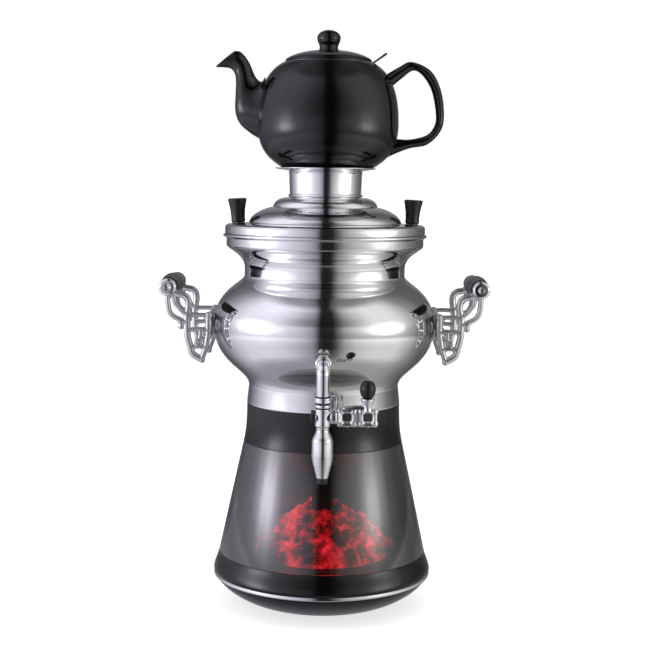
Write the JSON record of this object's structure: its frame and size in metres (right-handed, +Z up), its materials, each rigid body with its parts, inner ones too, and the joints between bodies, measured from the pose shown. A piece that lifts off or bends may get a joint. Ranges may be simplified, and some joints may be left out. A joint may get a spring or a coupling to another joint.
{
  "type": "samovar",
  "caption": "Electric samovar: chromed hot-water tank with front tap over a smoked window and ember bed, scroll handles, lift-off lid and a teapot on its crown.",
  "frame": {"origin": "on the table, under the samovar's vertical axis", "axes": "+Z up along the axis, -Y towards the user on the tap's side, +X towards the right-hand handle"},
  "size_m": [0.357, 0.2707, 0.6277],
  "materials": {
    "chrome": "polished chrome plate",
    "cast_chrome": "bright plated casting",
    "steel": "satin steel",
    "brass": "turned brass",
    "black_plastic": "gloss black moulding",
    "black_matte": "matte black moulding",
    "smoked": "smoked translucent cone",
    "ember": "translucent ember moulding, lit from below",
    "led": "clear red light",
    "board": "circuit board",
    "ceramic": "glossy black glaze",
    "rubber": "matte rubber",
    "seal": "silicone",
    "rocker": "red switch cap"
  },
  "bodies": {
    "base": {"rubber_feet": "rubber", "base_pan": "black_plastic", "trim_ring": "chrome", "base_ring": "black_plastic", "inlet_housing": "black_matte", "inlet_pins": "brass", "ember_tray": "black_matte", "ember_bed": "ember", "led_board": "board", "leds": "led", "smoked_shade": "smoked", "upper_collar": "black_plastic", "support_tube": "black_matte", "clamp_rod": "steel", "clamp_nut": "steel", "tank_body": "chrome", "tank_shoulder": "chrome", "tank_neck": "chrome", "tank_floor": "steel", "heating_element": "steel", "element_nuts": "brass", "element_seals": "seal", "thermostat": "steel", "thermal_cutout": "steel", "tap_inlet_seal": "seal", "tap_locknut": "brass", "tap_elbow": "chrome", "tap_union_nut": "chrome", "tap_valve_body": "chrome", "tap_nozzle": "chrome", "nozzle_tip": "black_matte", "handle_bracket_left": "cast_chrome", "handle_bracket_right": "cast_chrome", "handle_studs": "steel", "handle_cap_nuts": "cast_chrome", "arm_left_front": "cast_chrome", "arm_left_rear": "cast_chrome", "arm_right_front": "cast_chrome", "arm_right_rear": "cast_chrome", "grip_left": "black_plastic", "grip_right": "black_plastic", "tie_rods": "steel", "grip_caps": "chrome"},
    "switch": {"power_switch": "rocker"},
    "key": {"tap_plug": "brass", "plug_spring_washer": "steel", "plug_nut": "steel", "tap_key": "cast_chrome", "tap_key_knob": "black_plastic"},
    "lid": {"lid": "chrome", "lid_knobs": "black_plastic", "lid_knob_screws": "steel"},
    "crown": {"crown": "chrome"},
    "teapot": {"teapot_base": "ceramic", "teapot_body": "ceramic", "teapot_shoulder": "ceramic", "teapot_spout": "ceramic", "teapot_handle": "ceramic"},
    "strainer": {"strainer": "steel"},
    "teapot_lid": {"teapot_lid": "ceramic"}
  },
  "joints": [
    {"name": "switch_rock", "type": "hinge", "parent": "base", "child": "switch", "pos_m": [0.017, 0.1165, 0.029], "axis": [1, 0, 0], "range_deg": [-16, 0]},
    {"name": "tap_key_turn", "type": "hinge", "parent": "base", "child": "key", "pos_m": [0.02, -0.138, 0.2295], "axis": [1, 0, 0], "range_deg": [0, 90]},
    {"name": "lid_lift", "type": "slide", "parent": "base", "child": "lid", "axis": [0, 0, 1], "range_m": [0, 0.14]},
    {"name": "crown_lift", "type": "slide", "parent": "lid", "child": "crown", "axis": [0, 0, 1], "range_m": [0, 0.04]},
    {"name": "teapot_lift", "type": "slide", "parent": "crown", "child": "teapot", "axis": [0, 0, 1], "range_m": [0, 0.08]},
    {"name": "strainer_lift", "type": "slide", "parent": "teapot", "child": "strainer", "axis": [0, 0, 1], "range_m": [0, 0.08]},
    {"name": "teapot_lid_lift", "type": "slide", "parent": "strainer", "child": "teapot_lid", "axis": [0, 0, 1], "range_m": [0, 0.06]}
  ]
}
